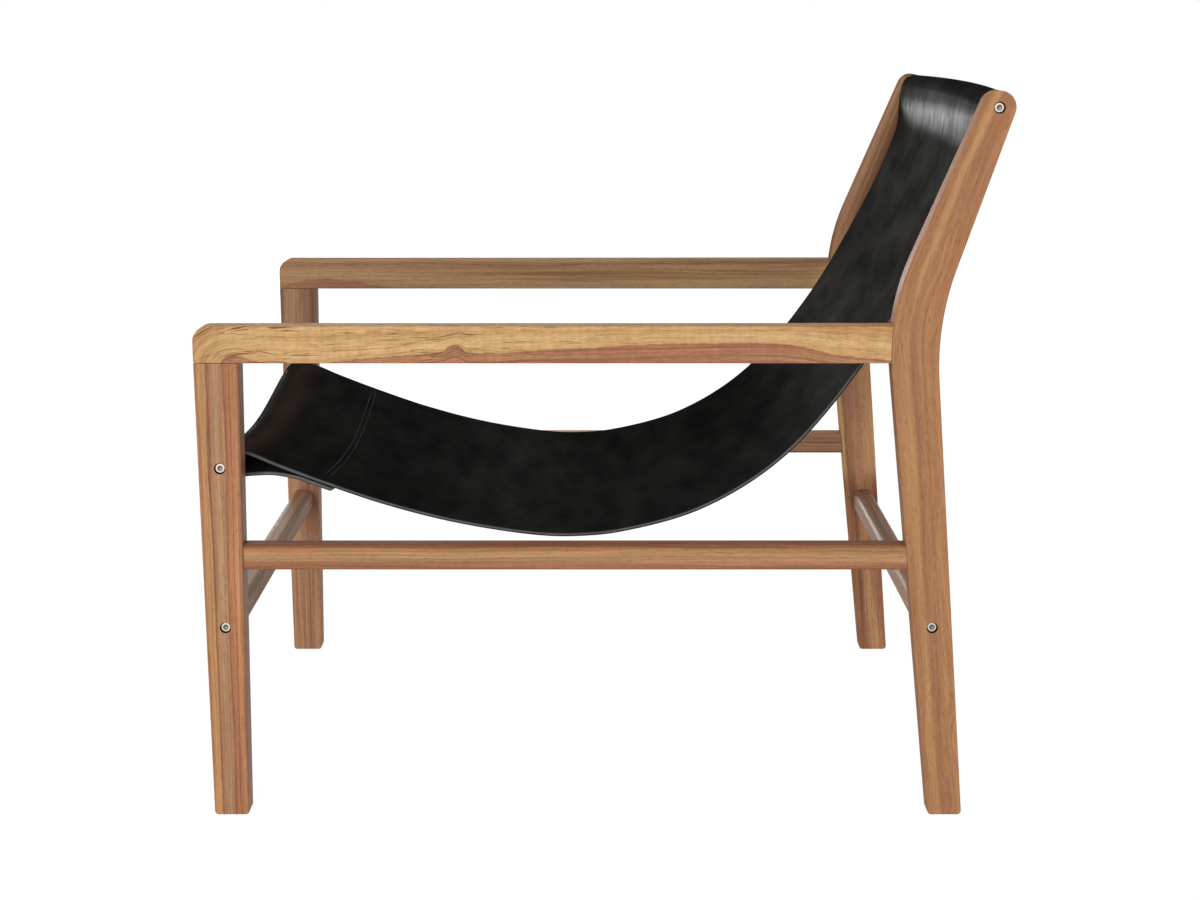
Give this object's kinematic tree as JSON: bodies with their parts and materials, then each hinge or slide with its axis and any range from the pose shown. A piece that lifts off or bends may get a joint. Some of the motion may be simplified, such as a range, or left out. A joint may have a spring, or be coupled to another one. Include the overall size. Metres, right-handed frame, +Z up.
{
  "type": "lounge chair",
  "caption": "Low lounge chair: wooden side frames with straight armrests and raked back posts, joined by rails and stretchers, with a black leather sheet slung from rail to rail.",
  "frame": {"origin": "on the floor, in the middle of the chair's width and depth", "axes": "+X towards the sitter's left, -Y the way the sitter faces, +Z up"},
  "size_m": [0.614, 0.8272, 0.7495],
  "materials": {
    "leg_wood": "oiled hardwood, golden to reddish brown, satin",
    "arm_wood": "oiled hardwood, golden brown, satin",
    "stretcher_wood": "oiled hardwood, brown, satin",
    "rail_wood": "turned hardwood, stained dark",
    "tenon_wood": "plain beech, unfinished",
    "black_leather": "thick black saddle leather, semi-matt, cut edges",
    "bolt_steel": "nickel plated steel",
    "insert_metal": "plain",
    "tack_metal": "blued steel"
  },
  "bodies": {
    "root": {"left_front_leg": "leg_wood", "left_rear_post": "leg_wood", "left_armrest": "arm_wood", "left_side_stretcher": "stretcher_wood", "left_arm_leg_tenon": "tenon_wood", "left_arm_post_tenon": "tenon_wood", "left_stretcher_leg_tenon": "tenon_wood", "left_stretcher_post_tenon": "tenon_wood", "left_front_rail_bolt": "bolt_steel", "left_front_rail_insert": "insert_metal", "left_top_rail_bolt": "bolt_steel", "left_top_rail_insert": "insert_metal", "left_front_stretcher_bolt": "bolt_steel", "left_front_stretcher_insert": "insert_metal", "left_rear_stretcher_bolt": "bolt_steel", "left_rear_stretcher_insert": "insert_metal", "right_front_leg": "leg_wood", "right_rear_post": "leg_wood", "right_armrest": "arm_wood", "right_side_stretcher": "stretcher_wood", "right_arm_leg_tenon": "tenon_wood", "right_arm_post_tenon": "tenon_wood", "right_stretcher_leg_tenon": "tenon_wood", "right_stretcher_post_tenon": "tenon_wood", "right_front_rail_bolt": "bolt_steel", "right_front_rail_insert": "insert_metal", "right_top_rail_bolt": "bolt_steel", "right_top_rail_insert": "insert_metal", "right_front_stretcher_bolt": "bolt_steel", "right_front_stretcher_insert": "insert_metal", "right_rear_stretcher_bolt": "bolt_steel", "right_rear_stretcher_insert": "insert_metal", "front_cross_stretcher": "stretcher_wood", "rear_cross_stretcher": "stretcher_wood", "front_sling_rail": "rail_wood", "top_sling_rail": "rail_wood", "leather_sling": "black_leather", "sling_tack_1": "tack_metal", "sling_tack_2": "tack_metal", "sling_tack_3": "tack_metal", "sling_tack_4": "tack_metal", "sling_tack_5": "tack_metal", "sling_tack_6": "tack_metal", "sling_tack_7": "tack_metal", "sling_tack_8": "tack_metal", "sling_tack_9": "tack_metal"}
  },
  "joints": []
}
